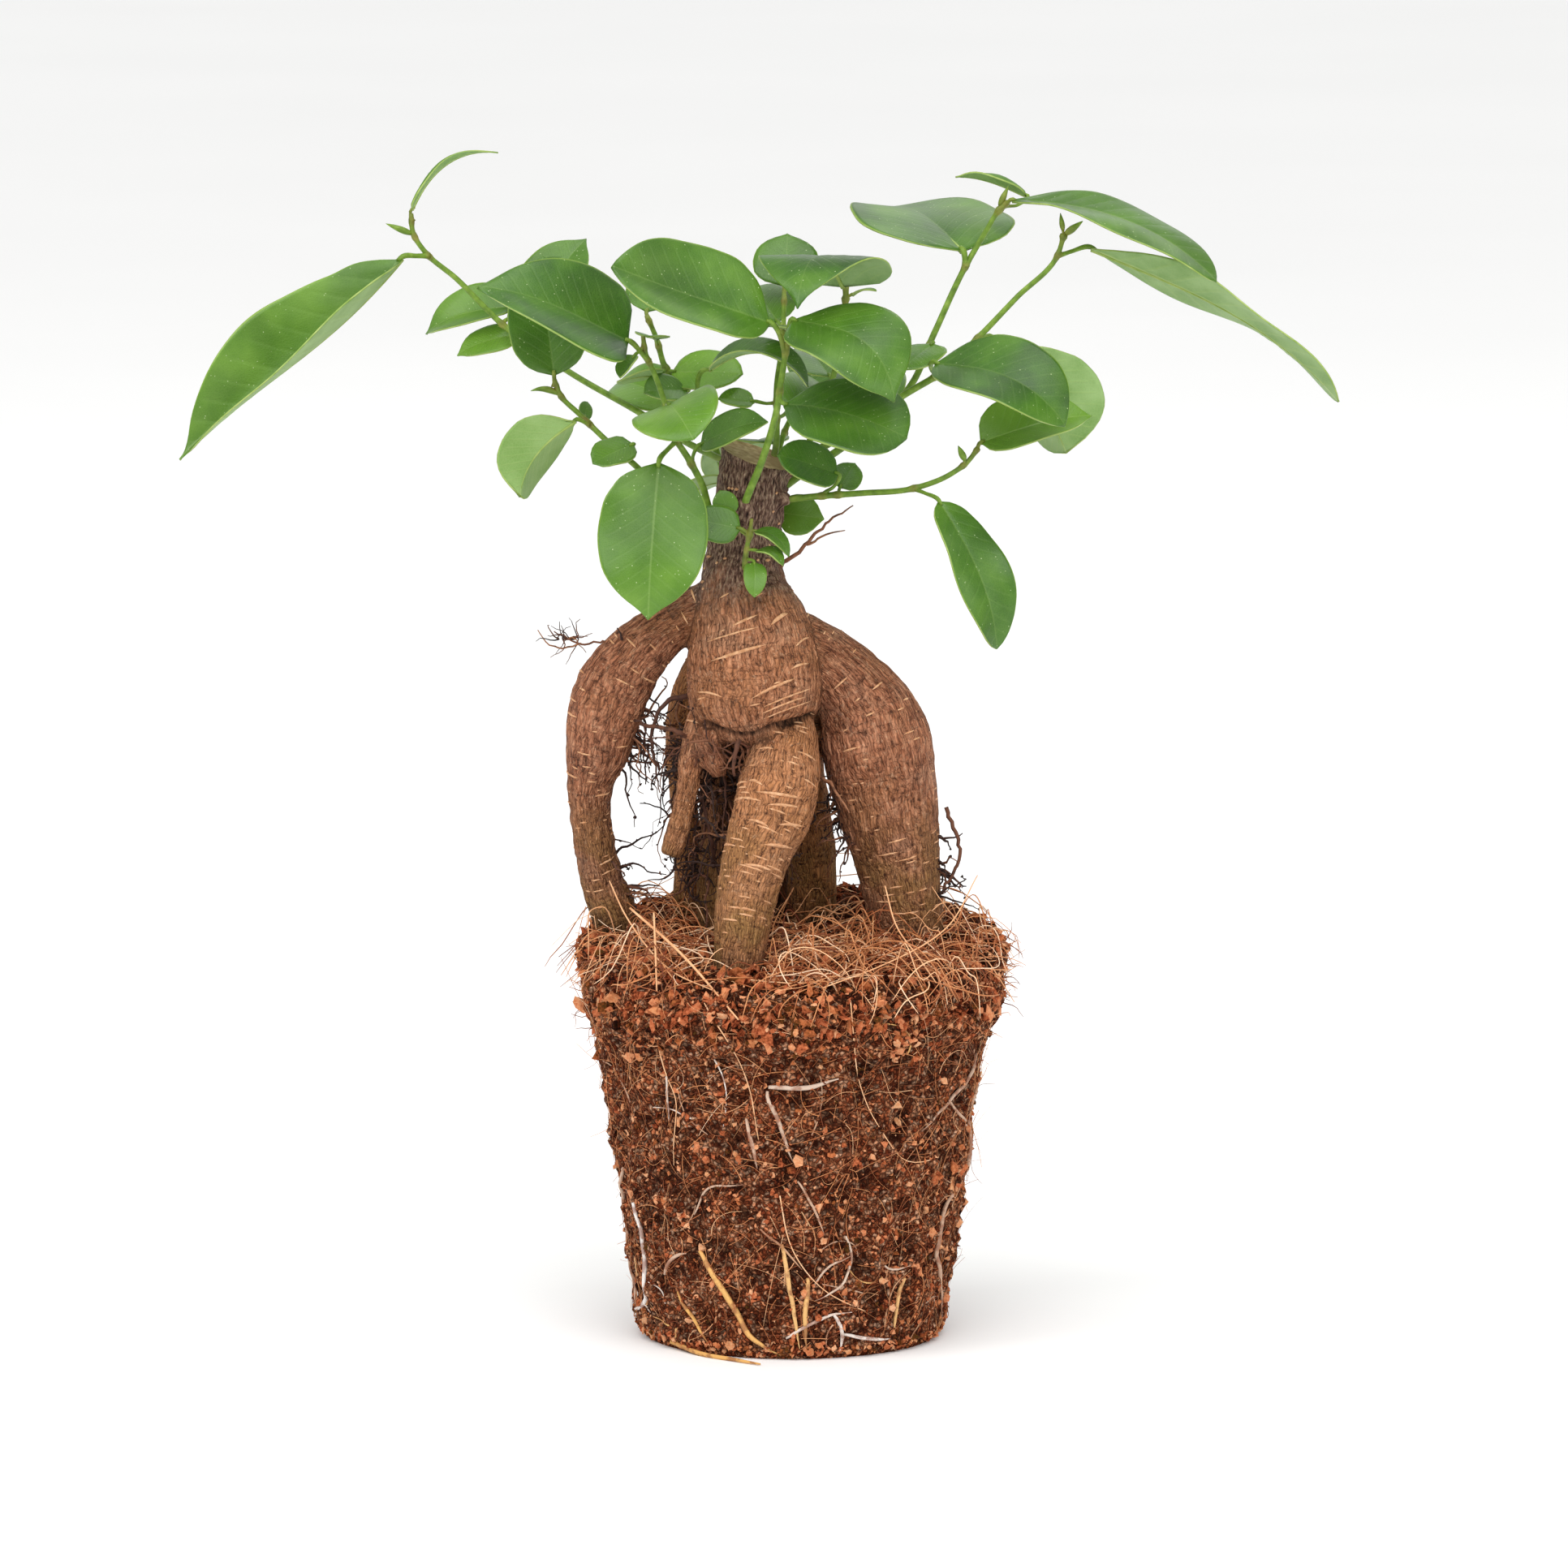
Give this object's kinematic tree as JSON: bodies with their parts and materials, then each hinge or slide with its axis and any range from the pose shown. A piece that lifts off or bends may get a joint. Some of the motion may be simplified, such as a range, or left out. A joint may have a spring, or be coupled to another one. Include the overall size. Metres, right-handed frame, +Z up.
{
  "type": "ginseng ficus bonsai with bare root ball",
  "caption": "Ginseng ficus bonsai out of its pot: swollen leg-like roots under a sawn trunk with leafy shoots, standing in a pot-shaped ball of coir.",
  "frame": {"origin": "centre of the root ball's flat base, on the surface that it stands on", "axes": "+Z up, -Y towards the side seen in the picture, +X to the right in the picture"},
  "size_m": [0.2998, 0.1175, 0.3063],
  "materials": {
    "bark": "rough bark, fine wrinkles along the roots, paler cross-wise pores",
    "coir": "loose coconut fibre and crumbs, matt",
    "leaf": "waxy, glossy upper side, duller pale underside"
  },
  "bodies": {
    "root": {"root_ball": "coir", "root_stock": "bark", "shoot_left_long": "leaf", "shoot_left_low": "leaf", "shoot_left_front": "leaf", "shoot_front_centre": "leaf", "shoot_middle_back": "leaf", "shoot_top_centre": "leaf", "shoot_right_tall": "leaf", "shoot_right_long": "leaf", "shoot_right_low": "leaf", "shoot_front_low": "leaf", "shoot_back_left": "leaf", "shoot_back_right": "leaf"}
  },
  "joints": []
}
